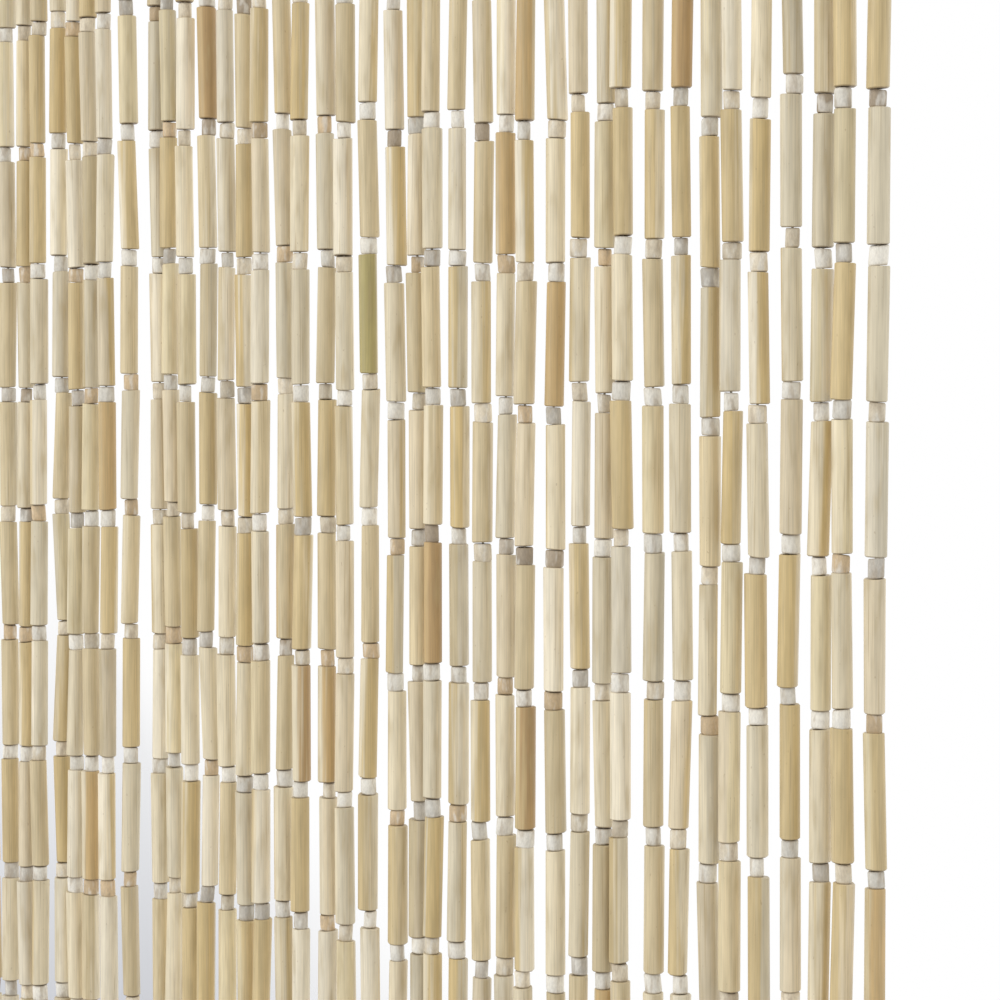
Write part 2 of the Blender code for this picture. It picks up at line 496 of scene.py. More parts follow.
@dataclass
class RoundSolids:
    """Many hollow round solids, each a closed band of rings round its own axis.

    The rings run down the outside and up the bore, and the last joins the
    first, so each solid has no open edge. A point is the axis's point at the
    ring's place, plus the ring's radius times the unit circle, plus a rise that
    tilts the ring: its slope times the offset. All arrays have a row for each
    solid.
    """

    tops: Array
    ends: Array
    # By ring and side
    radii: Array
    # How far down the axis each ring lies, from 0 to 1
    places: Array
    # The angle of each solid's first side
    turn: Array
    # The slope of each ring in x and in y
    tilt: Array

    @property
    def shape(self) -> tuple[int, int, int]:
        """How many solids, rings and sides there are."""
        return self.radii.shape

    def angles(self) -> Array:
        """Return the angle of every point round its axis."""
        sides = np.arange(self.shape[2]) * (2 * math.pi / self.shape[2])
        return np.broadcast_to(self.turn[:, None, None] + sides, self.shape)

    def points(self) -> Array:
        """Return the points, by solid, ring, side and coordinate.

        Returns:
            An array with axes for solid, ring, side and x, y and z.
        """
        reach = self.places[:, :, None, None]
        axis = self.tops[:, None, None, :] * (1 - reach) + self.ends[:, None, None, :] * reach
        angle = self.angles()
        x, y = self.radii * np.cos(angle), self.radii * np.sin(angle)
        rise = x * self.tilt[:, :, None, 0] + y * self.tilt[:, :, None, 1]
        return axis + np.stack((x, y, rise), axis=-1)

    def own_grain(self, points: Array, draw: Draw) -> Array:
        """Return each point in millimetres from its solid's middle, each solid elsewhere.

        Every solid is moved by a draw of its own, so that no two have the same
        piece of their material's noise.

        Args:
            points: the solids' points, as points gives them.
            draw: the random draws, taken in a fixed order.

        Returns:
            An array of the points' shape.
        """
        middle = points.mean(axis=(1, 2), keepdims=True)
        grain = draw.uniform(-GRAIN_REACH, GRAIN_REACH, (self.shape[0], 1, 1, 3))
        return (points - middle) / MM + grain

    @staticmethod
    def corners(rings: int, sides: int) -> tuple[Array, Array]:
        """Return the ring and side numbers at each corner of one solid's faces.

        Past the last ring or side the numbers run on, so that a map can end
        there, and the remainder gives the point.

        Args:
            rings: how many rows of faces there are.
            sides: how many faces a row has.

        Returns:
            The ring numbers and the side numbers, a row of four for each face.
        """
        ring, side = np.meshgrid(np.arange(rings), np.arange(sides), indexing="ij")
        ring = ring.reshape(-1, 1) + np.array([0, 1, 1, 0])
        side = side.reshape(-1, 1) + np.array([0, 0, 1, 1])
        return ring, side

    def faces(self, count: int) -> Array:
        """Return the four-sided faces of this many solids, facing outwards.

        Args:
            count: how many solids there are.

        Returns:
            Four point numbers for each face.
        """
        _, rings, sides = self.shape
        ring, side = self.corners(rings, sides)
        one = ring % rings * sides + side % sides
        return (one[None] + np.arange(count)[:, None, None] * rings * sides).reshape(-1, 4)

    def map_corners(self, count: int, columns: int, along: tuple[float, ...]) -> Array:
        """Return where each face corner lies on a flat map, solid by solid.

        Every solid has a cell of a grid. Its rings lie along the cell's width,
        at the shares that along gives, and its sides up the cell's height.

        Args:
            count: how many solids the map holds.
            columns: how many cells lie side by side.
            along: the share of the width at each ring, and at the last's end.

        Returns:
            Two coordinates for each corner of each face.
        """
        _, rings, sides = self.shape
        ring, side = self.corners(rings, sides)
        inset = 0.03
        u = inset + (1 - 2 * inset) * np.array(along)[ring]
        v = inset + (1 - 2 * inset) * side / sides
        rows = math.ceil(count / columns)
        cell = np.arange(count)
        u = (u[None] + (cell % columns)[:, None, None]) / columns
        v = (v[None] + (cell // columns)[:, None, None]) / rows
        return np.stack((u, v), axis=-1).reshape(-1, 2)


def add_object(name: str, data: bpy.types.ID) -> Piece:
    """Put a new object that holds data into the scene.

    Args:
        name: the object's name.
        data: the mesh, lamp or camera that it shows.

    Returns:
        The new object, at the origin.
    """
    made = bpy.data.objects.new(name, data)
    bpy.context.scene.collection.objects.link(made)
    return made


def make_piece(name: str, points: Array, faces: Array, sharp: float) -> Piece:
    """Put points and four-sided faces into a new object of the scene.

    Args:
        name: the piece's name.
        points: the points, with a last axis of x, y and z.
        faces: the faces by four point numbers.
        sharp: the angle past which an edge stays sharp, in radians.

    Returns:
        The new object, at the origin.
    """
    mesh = bpy.data.meshes.new(name)
    mesh.vertices.add(points.size // 3)
    mesh.vertices.foreach_set("co", points.astype(np.float32).ravel())
    mesh.loops.add(faces.size)
    mesh.loops.foreach_set("vertex_index", faces.astype(np.int32).ravel())
    mesh.polygons.add(len(faces))
    mesh.polygons.foreach_set("loop_start", np.arange(0, faces.size, 4, dtype=np.int32))
    mesh.update(calc_edges=True)
    mesh.shade_smooth()
    mesh.set_sharp_from_angle(angle=sharp)
    return add_object(name, mesh)


def store(piece: Piece, name: str, values: Array) -> None:
    """Store a number, a vector or a colour for each point of a piece.

    Args:
        piece: the object.
        name: the attribute's name.
        values: by solid, ring and side, with a fourth axis for vectors, of 3,
            and colours, of 4.
    """
    kinds = {3: ("FLOAT_VECTOR", "vector"), 4: ("FLOAT_COLOR", "color")}
    kind, key = kinds[values.shape[3]] if values.ndim == 4 else ("FLOAT", "value")
    attribute = piece.data.attributes.new(name, kind, "POINT")
    attribute.data.foreach_set(key, values.astype(np.float32).ravel())


def store_map(piece: Piece, corners: Array) -> None:
    """Give a piece its flat map, from two coordinates for each face corner."""
    layer = piece.data.uv_layers.new(name="OFBake")
    layer.uv.foreach_set("vector", corners.astype(np.float32).ravel())


def tones_of(picks: Array, tones: list[Enum], bright: Array, shape: tuple[int, ...]) -> Array:
    """Return each solid's tone times its brightness, at all of its points.

    Args:
        picks: the number of each solid's tone.
        tones: the tones that the numbers stand for.
        bright: each solid's brightness.
        shape: how many solids, rings and sides there are.

    Returns:
        A colour for each solid, ring and side.
    """
    table = np.array([tone.value for tone in tones])
    colour = table[picks] * bright[:, None]
    colour = np.concatenate((colour, np.ones((len(picks), 1))), axis=1)
    return colour[:, None, None, :] * np.ones((*shape, 1))


@dataclass(frozen=True)
class Grain:
    """A noise: what its coordinates are multiplied by, and how it is made."""

    stretch: Triple = (1.0, 1.0, 1.0)
    scale: float = 1.0
    detail: float = 2.0
    rough: float = 0.5


@dataclass(frozen=True)
class Ramp:
    """A smooth way from start to end while a value goes from low to high."""

    low: float
    high: float
    start: float = 0.0
    end: float = 1.0


@dataclass(frozen=True)
class Relief:
    """How strongly and how far a surface is raised by bump."""

    strength: float
    distance: float


class NodeBoard:
    """The nodes of a material or of the world, laid and joined by short calls."""

    def __init__(
        self,
        owner: Material | bpy.types.World,
        shader: str = "Principled BSDF",
    ) -> None:
        """Start on the owner's nodes, where it has a shader of this name.

        Args:
            owner: the material or the world.
            shader: the name of its shader's node.
        """
        owner.use_nodes = True
        self.owner = owner
        self.tree = owner.node_tree
        self.shader = self.tree.nodes[shader]

    @classmethod
    def of_material(cls, name: str) -> "NodeBoard":
        """Start a new material."""
        return cls(bpy.data.materials.new(name))

    def node(self, kind: str, **settings: object) -> bpy.types.Node:
        """Add a node and set its properties.

        Args:
            kind: the node's type.
            settings: its properties by name.

        Returns:
            The new node.
        """
        made = self.tree.nodes.new(kind)
        for key, value in settings.items():
            setattr(made, key, value)
        return made

    def feed(self, socket: Socket, value: object) -> None:
        """Link a socket to value, or set it to value where that is no socket.

        Args:
            socket: an input of a node.
            value: a socket, a number or a colour.
        """
        if isinstance(value, Socket):
            self.tree.links.new(value, socket)
        else:
            socket.default_value = value

    def shade(self, **inputs: object) -> None:
        """Feed the shader's inputs, named with _ for a space."""
        for name, value in inputs.items():
            self.feed(self.shader.inputs[name.replace("_", " ")], value)

    def attribute(self, name: str, output: str = "Fac") -> Socket:
        """Return an attribute's Color, Vector or Fac output."""
        return self.node("ShaderNodeAttribute", attribute_name=name).outputs[output]

    def place(self) -> Socket:
        """Return the object coordinates."""
        return self.node("ShaderNodeTexCoord").outputs["Object"]

    def maths(self, operation: str, *values: object) -> Socket:
        """Return the result of one operation on numbers.

        Args:
            operation: the operation's name in Blender.
            values: what it works on, as sockets or numbers.

        Returns:
            The socket that gives the result.
        """
        made = self.node("ShaderNodeMath", operation=operation)
        for socket, value in zip(made.inputs, values):
            self.feed(socket, value)
        return made.outputs[0]

    def along(self, vector: object, way: Vector) -> Socket:
        """Return the dot product of a vector and a fixed way.

        Args:
            vector: the vector's socket.
            way: the fixed way.

        Returns:
            The socket that gives the product.
        """
        made = self.node("ShaderNodeVectorMath", operation="DOT_PRODUCT")
        self.feed(made.inputs[0], vector)
        made.inputs[1].default_value = way
        return made.outputs["Value"]

    def noise(self, vector: object, grain: Grain) -> Socket:
        """Return a noise value, about 0.5 in the mean.

        Args:
            vector: the coordinates' socket.
            grain: how the noise is made.

        Returns:
            The socket that gives the noise.
        """
        stretched = self.node("ShaderNodeVectorMath", operation="MULTIPLY")
        self.feed(stretched.inputs[0], vector)
        stretched.inputs[1].default_value = grain.stretch
        made = self.node("ShaderNodeTexNoise")
        self.feed(made.inputs["Vector"], stretched.outputs[0])
        made.inputs["Scale"].default_value = grain.scale
        made.inputs["Detail"].default_value = grain.detail
        made.inputs["Roughness"].default_value = grain.rough
        return made.outputs["Fac"]

    def ramp(self, value: object, ramp: Ramp) -> Socket:
        """Return what the ramp gives for a value.

        Args:
            value: the value's socket.
            ramp: where it starts and ends.

        Returns:
            The socket that gives the result.
        """
        made = self.node("ShaderNodeMapRange", interpolation_type="SMOOTHSTEP")
        self.feed(made.inputs["Value"], value)
        made.inputs["From Min"].default_value = ramp.low
        made.inputs["From Max"].default_value = ramp.high
        made.inputs["To Min"].default_value = ramp.start
        made.inputs["To Max"].default_value = ramp.end
        return made.outputs["Result"]

    def mix(self, share: object, first: object, second: object) -> Socket:
        """Return two colours mixed by share.

        Args:
            share: how much of the second colour there is, from 0 to 1.
            first: the first colour, or its socket.
            second: the second colour, or its socket.

        Returns:
            The socket that gives the mixed colour.
        """
        made = self.node("ShaderNodeMix", data_type="RGBA")
        self.feed(made.inputs["Factor"], share)
        self.feed(made.inputs[6], first)
        self.feed(made.inputs[7], second)
        return made.outputs[2]

    def dim(self, colour: object, factor: object) -> Socket:
        """Return a colour times a number.

        Args:
            colour: the colour, or its socket.
            factor: the number, or its socket.

        Returns:
            The socket that gives the new colour.
        """
        made = self.node("ShaderNodeVectorMath", operation="SCALE")
        self.feed(made.inputs[0], colour)
        self.feed(made.inputs["Scale"], factor)
        return made.outputs[0]

    def bump(self, height: object, relief: Relief) -> None:
        """Raise the surface by height, on the shader's normal.

        Args:
            height: the height's socket.
            relief: how strong the bump is.
        """
        made = self.node("ShaderNodeBump")
        self.feed(made.inputs["Height"], height)
        made.inputs["Strength"].default_value = relief.strength
        made.inputs["Distance"].default_value = relief.distance
        self.shade(Normal=made.outputs["Normal"])


def solid(colour: Colour) -> tuple[float, float, float, float]:
    """Return a colour with full alpha."""
    return (*colour, 1.0)


@dataclass(frozen=True)
class BambooSkin:
    """Dry bamboo: streaks of two tones along the tube, fine fibres, and dark sawn ends, partly
    end grain and partly painted shade.
    """

    # Dark end colour: a little end grain on the upper end, and painted shade under the lower
    # end and down the bore
    end_grain_and_shade: Colour = (0.20, 0.135, 0.07)
    stain: Colour = (0.52, 0.40, 0.20)
    streak: Colour = (0.38, 0.27, 0.13)
    speck: Colour = (0.30, 0.19, 0.09)
    end_grain_and_shade_share: float = 0.9
    shine: float = 0.5
    # Noises in the tube's own grain, long drawn out along it
    broad: Grain = Grain((1.0, 1.0, 0.020), scale=0.6)
    fine: Grain = Grain((1.0, 1.0, 0.018), scale=1.9, detail=3.0, rough=0.6)
    patch: Grain = Grain((0.5, 0.5, 0.10), scale=0.6)
    thin: Grain = Grain((1.0, 1.0, 0.012), scale=1.5, detail=1.0)
    fleck: Grain = Grain((1.0, 1.0, 0.45), scale=1.3, detail=1.0)
    # How far the edge between the two tones wanders
    wander: float = 1.4
    vein_edge: Ramp = Ramp(0.36, 0.84)
    stained: Ramp = Ramp(0.54, 0.78, end=0.45)
    streaked: Ramp = Ramp(0.64, 0.75, end=0.45)
    flecked: Ramp = Ramp(0.74, 0.80, end=0.35)
    fine_shade: Ramp = Ramp(0.25, 0.75, 0.90, 1.11)
    broad_shade: Ramp = Ramp(0.3, 0.7, 0.96, 1.045)
    patch_shade: Ramp = Ramp(0.3, 0.7, 1.07, 0.94)
    roughness: Ramp = Ramp(0.3, 0.7, 0.42, 0.58)
    relief: Relief = Relief(0.35, 0.06 * MM)

    def material(self) -> Material:
        """Return the tubes' material, which reads the attributes of Tubes.

        Returns:
            The new material.
        """
        board = NodeBoard.of_material("bamboo_skin")
        place = board.attribute("fibre", "Vector")
        broad = board.noise(place, self.broad)
        fine = board.noise(place, self.fine)
        patch = board.noise(place, self.patch)
        thin = board.noise(place, self.thin)
        fleck = board.noise(place, self.fleck)
        lean = board.maths("MULTIPLY_ADD", broad, self.wander, -self.wander / 2)
        share = board.ramp(board.maths("ADD", board.attribute("band"), lean), self.vein_edge)
        tone, vein = board.attribute("tone", "Color"), board.attribute("vein", "Color")
        colour = board.mix(share, tone, vein)
        colour = board.mix(board.ramp(patch, self.stained), colour, solid(self.stain))
        colour = board.dim(colour, board.ramp(fine, self.fine_shade))
        colour = board.dim(colour, board.ramp(broad, self.broad_shade))
        colour = board.dim(colour, board.ramp(patch, self.patch_shade))
        colour = board.mix(board.ramp(thin, self.streaked), colour, solid(self.streak))
        colour = board.mix(board.ramp(fleck, self.flecked), colour, solid(self.speck))
        # Painted shade under the lower end and down the bore, with some end grain on the upper
        # end
        inside = board.maths("MULTIPLY", board.attribute("end_grain_and_shade"), self.end_grain_and_shade_share)
        colour = board.mix(inside, colour, solid(self.end_grain_and_shade))
        board.shade(Base_Color=colour, Roughness=board.ramp(fine, self.roughness))
        board.shade(Specular_IOR_Level=self.shine)
        board.bump(fine, self.relief)
        return board.owner


@dataclass(frozen=True)
class PithFinish:
    """Soft pale pith: streaked along the thread, pitted and quite matt."""

    dark: Colour = (0.42, 0.34, 0.24)
    pale: Colour = (0.80, 0.77, 0.69)
    # Painted shade where the tubes meet the bead's ends, and down its bore
    rim: Colour = (0.30, 0.22, 0.13)
    rim_shade_share: float = 0.7
    roughness: float = 0.9
    shine: float = 0.25
    marble: Grain = Grain((1.0, 1.0, 0.35), scale=0.42)
    grit: Grain = Grain((1.0, 1.0, 0.5), scale=1.6, detail=3.0, rough=0.6)
    dark_veins: Ramp = Ramp(0.50, 0.70, end=0.55)
    pale_veins: Ramp = Ramp(0.50, 0.30, end=0.60)
    grit_shade: Ramp = Ramp(0.3, 0.7, 0.90, 1.06)
    relief: Relief = Relief(0.5, 0.12 * MM)

    def material(self) -> Material:
        """Return the beads' material, which reads the attributes of Beads.

        Returns:
            The new material.
        """
        board = NodeBoard.of_material("pale_pith")
        place = board.attribute("fibre", "Vector")
        marble = board.noise(place, self.marble)
        grit = board.noise(place, self.grit)
        tone = board.attribute("tone", "Color")
        colour = board.mix(board.ramp(marble, self.dark_veins), tone, solid(self.dark))
        colour = board.mix(board.ramp(marble, self.pale_veins), colour, solid(self.pale))
        colour = board.dim(colour, board.ramp(grit, self.grit_shade))
        # Painted shade at the bead's ends and in its bore
        ends = board.maths("MULTIPLY", board.attribute("end_grain_and_shade"), self.rim_shade_share)
        colour = board.mix(ends, colour, solid(self.rim))
        board.shade(Base_Color=colour, Roughness=self.roughness, Specular_IOR_Level=self.shine)
        board.bump(grit, self.relief)
        return board.owner


@dataclass(frozen=True)
class StripWood:
    """Plain sanded wood with its grain along the strip, drilled for the strings; each string's
    hole is not built, and painted shade on the underside stands for it.
    """

    plan: CurtainPlan
    pale: Colour = (0.60, 0.47, 0.29)
    dark: Colour = (0.46, 0.33, 0.18)
    # Painted shade that stands for the dark inside each string's hole
    hole: Colour = (0.10, 0.06, 0.03)
    hole_radius: float = 0.9 * MM
    # The radius at which a hole's painted shade has faded, as a share of its own
    hole_fade: float = 1.2
    hole_rise: float = 0.3 * MM
    grain: Grain = Grain((9.0, 420.0, 420.0), detail=4.0, rough=0.6)
    fibre: Grain = Grain((30.0, 2400.0, 2400.0), detail=3.0, rough=0.6)
    grain_share: Ramp = Ramp(0.35, 0.65)
    fibre_shade: Ramp = Ramp(0.3, 0.7, 0.88, 1.08)
    roughness: Ramp = Ramp(0.3, 0.7, 0.5, 0.65)
    relief: Relief = Relief(0.3, 0.1 * MM)

    def material(self) -> Material:
        """Return the strip's material, which reads object coordinates.

        Returns:
            The new material.
        """
        board = NodeBoard.of_material("strip_wood")
        place = board.place()
        grain = board.noise(place, self.grain)
        fibre = board.noise(place, self.fibre)
        share = board.ramp(grain, self.grain_share)
        colour = board.mix(share, solid(self.pale), solid(self.dark))
        colour = board.dim(colour, board.ramp(fibre, self.fibre_shade))
        # Painted shade for each string's hole, which is not built
        colour = board.mix(self.painted_hole_shade(board, place), colour, solid(self.hole))
        board.shade(Base_Color=colour, Roughness=board.ramp(grain, self.roughness))
        board.bump(fibre, self.relief)
        return board.owner

    def painted_hole_shade(self, board: NodeBoard, place: Socket) -> Socket:
        """Return the painted shade of each string's hole: 1 within a hole's radius of a string
        on the underside, and 0 elsewhere.

        Args:
            board: the strip's material.
            place: the object coordinates' socket.

        Returns:
            The socket that gives the share.
        """
        parts = board.node("ShaderNodeSeparateXYZ")
        board.feed(parts.inputs[0], place)
        x, y, z = parts.outputs
        half = self.plan.string_pitch / 2
        across = board.maths("SUBTRACT", half, board.maths("PINGPONG", x, half))
        square = board.maths("MULTIPLY_ADD", across, across, board.maths("POWER", y, 2.0))
        rim = Ramp(self.hole_radius, self.hole_radius * self.hole_fade, start=1.0, end=0.0)
        underside = -self.plan.strip_height
        reach = Ramp(underside, underside + self.hole_rise, start=1.0, end=0.0)
        near = board.ramp(board.maths("SQRT", square), rim)
        return board.maths("MULTIPLY", near, board.ramp(z, reach))


@dataclass(frozen=True)
class ThreadFinish:
    """Undyed twisted thread."""

    colour: Colour = (0.58, 0.52, 0.42)
    roughness: float = 0.85
    twist: Grain = Grain(scale=2600.0)
    twist_shade: Ramp = Ramp(0.3, 0.7, 0.8, 1.1)
    relief: Relief = Relief(0.5, 0.1 * MM)

    def material(self) -> Material:
        """Return the threads' material.

        Returns:
            The new material.
        """
        board = NodeBoard.of_material("twisted_thread")
        twist = board.noise(board.place(), self.twist)
        colour = board.dim(self.colour, board.ramp(twist, self.twist_shade))
        board.shade(Base_Color=colour, Roughness=self.roughness)
        board.bump(twist, self.relief)
        return board.owner


@dataclass(frozen=True)
class Layout:
    """How the solids of one kind are put into joined meshes."""

    name: str
    groups: int
    seed: int
    # The angle past which an edge stays sharp
    sharp: float
    # The flat map: how many solids lie side by side, and where each ring lies
    columns: int
    along: tuple[float, ...]


@dataclass
class Strung(ABC):
    """What is threaded on the strings, in joined meshes of whole strings."""

    plan: CurtainPlan
    threading: Threading
    layout: Layout
    finish: BambooSkin | PithFinish
    sides: int
    width_spread: float
    # How many times its spread a solid's width may be off, below and above
    width_limits: tuple[float, float]
    bore: float
    # The spread of the ends' slopes
    end_slope: float
    bright_mean: float
    bright_spread: float
    bright_limits: tuple[float, float]
    # How much each ring takes of the dark end colour: end grain in part, and painted shade
    # under the ends and down the bore
    end_grain_and_shade_rings: tuple[float, ...]

    @abstractmethod
    def name_slot(self, piece: Piece) -> None:
        """Take a piece once it is made; the record's material slot is not named here."""

    @abstractmethod
    def solids(self, draw: Draw) -> RoundSolids:
        """Return the shapes of all the solids."""

    @abstractmethod
    def looks(self, solids: RoundSolids, points: Array, draw: Draw) -> dict[str, Array]:
        """Return what the material reads, by attribute name."""

    def radius(self, width: float, count: int, draw: Draw) -> Array:
        """Return the radius of each solid, from their mean width."""
        uneven = draw.normal(0, 1, count).clip(*self.width_limits)
        return width / 2 + uneven * self.width_spread / 2

    def slopes(self, count: int, draw: Draw) -> Array:
        """Return the slope of each solid's rings in x and in y."""
        return draw.normal(0, self.end_slope, (count, 2, 2))[:, END_OF_RING, :]

    def bright(self, count: int, draw: Draw) -> Array:
        """Return how bright each solid is."""
        bright = draw.normal(self.bright_mean, self.bright_spread, count)
        return bright.clip(*self.bright_limits)

    def end_grain_and_shade_at(self, solids: RoundSolids) -> Array:
        """Return how much of the dark end colour, end grain and painted shade, each point
        takes.
        """
        return np.array(self.end_grain_and_shade_rings)[None, :, None] * np.ones(solids.shape)

    def build(self) -> list[Piece]:
        """Make the joined meshes, dress them and return them.

        Returns:
            The new objects, in order.
        """
        layout = self.layout
        draw = np.random.default_rng(layout.seed)
        solids = self.solids(draw)
        points = solids.points()
        looks = self.looks(solids, points, draw)
        material = self.finish.material()
        count = solids.shape[0] // layout.groups
        faces = solids.faces(count)
        flat = solids.map_corners(count, layout.columns, layout.along)
        made = []
        for group in range(layout.groups):
            part = slice(group * count, (group + 1) * count)
            piece = make_piece(f"{layout.name}_{group + 1}", points[part], faces, layout.sharp)
            for name, values in looks.items():
                store(piece, name, values[part])
            store_map(piece, flat)
            piece.data.materials.append(material)
            self.name_slot(piece)
            made.append(piece)
        return made


@dataclass
class Tubes(Strung):
    """The bamboo tubes."""

    layout: Layout = Layout(
        name="tubes",
        groups=9,
        seed=6215,
        sharp=math.radians(40),
        columns=20,
        along=(0.0, 0.02, 0.92, 0.94, 0.96, 0.98, 1.0),
    )
    finish: BambooSkin = BambooSkin()
    sides: int = 10
    width_spread: float = 0.26 * MM
    width_limits: tuple[float, float] = (-1.8, 1.3)
    bore: float = 1.2 * MM
    end_slope: float = 0.035
    bright_mean: float = 0.995
    bright_spread: float = 0.075
    bright_limits: tuple[float, float] = (0.80, 1.085)
    # Some end grain on the upper end; painted shade on the lower end and down the bore
    end_grain_and_shade_rings: tuple[float, ...] = (0.25, 0.0, 0.0, 1.0, 1.0, 0.7)
    taper: float = 0.012
    # How far the upper and the lower end are rounded
    bevel: float = 0.25 * MM
    end_bevel: float = 0.42 * MM

    def name_slot(self, piece: Piece) -> None:
        """Leave the tubes' slot as it is: nothing is named."""

    def solids(self, draw: Draw) -> RoundSolids:
        """Return the tubes' shapes: a rim, the long outside, a rim and the bore.

        Args:
            draw: the random draws, taken in a fixed order.

        Returns:
            The shapes, string by string from the top down.
        """
        tops = self.threading.tube_tops.reshape(-1, 3)
        ends = self.threading.tube_ends.reshape(-1, 3)
        count = len(tops)
        radius = self.radius(self.plan.tube_width, count, draw)
        taper = draw.normal(0, self.taper, count)
        upper, lower = radius * (1 + taper), radius * (1 - taper)
        bore = np.full(count, self.bore)
        rings = (upper - self.bevel, upper, lower, lower - self.end_bevel, bore, bore)
        length = (tops - ends)[:, 2]
        zero, one = np.zeros(count), np.ones(count)
        places = (zero, self.bevel / length, one - self.end_bevel / length, one, one, zero)
        slopes = self.slopes(count, draw)
        return RoundSolids(
            tops=tops,
            ends=ends,
            radii=np.repeat(np.stack(rings, axis=1)[:, :, None], self.sides, axis=2),
            places=np.stack(places, axis=1),
            turn=draw.uniform(0, 2 * math.pi, count),
            tilt=slopes,
        )

    def looks(self, solids: RoundSolids, points: Array, draw: Draw) -> dict[str, Array]:
        """Return what the tubes' material reads, by attribute name.

        tone and vein are a tube's two colours. band is how near a point lies
        to the side where the vein's colour runs: half of one plus the cosine
        of the angle between them. fibre is the point's place in the tube's own
        grain, and end_grain_and_shade is how much of the dark end colour a
        point takes: a little on the upper end, for the end grain, and up to all
        of it on the lower end and down the bore, as painted shade.

        Args:
            solids: the tubes' shapes.
            points: the solids' points, as points gives them.
            draw: the random draws, taken in a fixed order.

        Returns:
            The values of each attribute, by solid, ring and side.
        """
        count, tones = solids.shape[0], list(Tone)
        own, veins = np.array([TUBE_SHARES[one] for one in tones]).T
        tone = draw.choice(len(tones), count, p=own)
        vein = draw.choice(len(tones), count, p=veins)
        side = draw.uniform(0, 2 * math.pi, count)
        bright = self.bright(count, draw)
        facing = self.plan.heading - math.pi / 2
        for mark in MARKED_TUBES:
            index = self.plan.index_of(mark)
            tone[index], vein[index] = tones.index(mark.tone), tones.index(mark.vein)
            side[index] = facing + math.radians(mark.turn)
            bright[index] = 1.0
        return {
            "tone": tones_of(tone, tones, bright, solids.shape),
            "vein": tones_of(vein, tones, bright, solids.shape),
            "band": 0.5 + 0.5 * np.cos(solids.angles() - side[:, None, None]),
            "fibre": solids.own_grain(points, draw),
            "end_grain_and_shade": self.end_grain_and_shade_at(solids),
        }


@dataclass
class Beads(Strung):
    """The pale beads between the tubes, a little uneven."""

    layout: Layout = Layout(
        name="beads",
        groups=3,
        seed=23,
        sharp=math.radians(50),
        columns=36,
        along=(0.0, 0.1, 0.84, 0.94, 0.96, 0.98, 1.0),
    )
    finish: PithFinish = PithFinish()
    sides: int = 9
    width_spread: float = 0.55 * MM
    width_limits: tuple[float, float] = (-1.6, 1.2)
    bore: float = 0.7 * MM
    end_slope: float = 0.045
    bright_mean: float = 1.0
    bright_spread: float = 0.09
    bright_limits: tuple[float, float] = (0.78, 1.14)
    # Painted shade on both ends, where the tubes meet the bead, and down the bore
    end_grain_and_shade_rings: tuple[float, ...] = (0.5, 0.0, 0.0, 0.7, 1.0, 1.0)
    width: float = 5.25 * MM
    lump: float = 0.022
    lump_limit: float = 0.08
    # The outer rings' radii as shares of the bead's, and where all rings lie
    profile: tuple[float, ...] = (0.90, 1.0, 1.0, 0.90)
    ring_places: tuple[float, ...] = (0.0, 0.09, 0.91, 1.0, 1.0, 0.0)

    def name_slot(self, piece: Piece) -> None:
        """Leave the beads' slot as it is: nothing is named."""

    def solids(self, draw: Draw) -> RoundSolids:
        """Return the beads' shapes: short, nearly straight, with soft edges.

        Args:
            draw: the random draws, taken in a fixed order.

        Returns:
            The shapes, string by string from the top down.
        """
        tops = self.threading.bead_tops.reshape(-1, 3)
        ends = self.threading.bead_ends.reshape(-1, 3)
        count, rings = len(tops), len(self.profile)
        radius = self.radius(self.width, count, draw)
        outer = radius[:, None, None] * np.array(self.profile)[None, :, None]
        lumps = draw.normal(0, self.lump, (count, 1, self.sides))
        lumps = lumps + draw.normal(0, self.lump / 2, (count, rings, self.sides))
        outer = outer * (1 + lumps.clip(-self.lump_limit, self.lump_limit))
        bore = np.full((count, 2, self.sides), self.bore)
        slopes = self.slopes(count, draw)
        return RoundSolids(
            tops=tops,
            ends=ends,
            radii=np.concatenate((outer, bore), axis=1),
            places=np.tile(np.array(self.ring_places), (count, 1)),
            turn=draw.uniform(0, 2 * math.pi, count),
            tilt=slopes,
        )

    def looks(self, solids: RoundSolids, points: Array, draw: Draw) -> dict[str, Array]:
        """Return what the beads' material reads, by attribute name.

        Args:
            solids: the beads' shapes.
            points: the solids' points, as points gives them.
            draw: the random draws, taken in a fixed order.

        Returns:
            The values of each attribute, by solid, ring and side.
        """
        count, tones = solids.shape[0], list(BeadTone)
        pick = draw.choice(len(tones), count, p=[BEAD_SHARES[one] for one in tones])
        bright = self.bright(count, draw)
        return {
            "tone": tones_of(pick, tones, bright, solids.shape),
            "fibre": solids.own_grain(points, draw),
            "end_grain_and_shade": self.end_grain_and_shade_at(solids),
        }


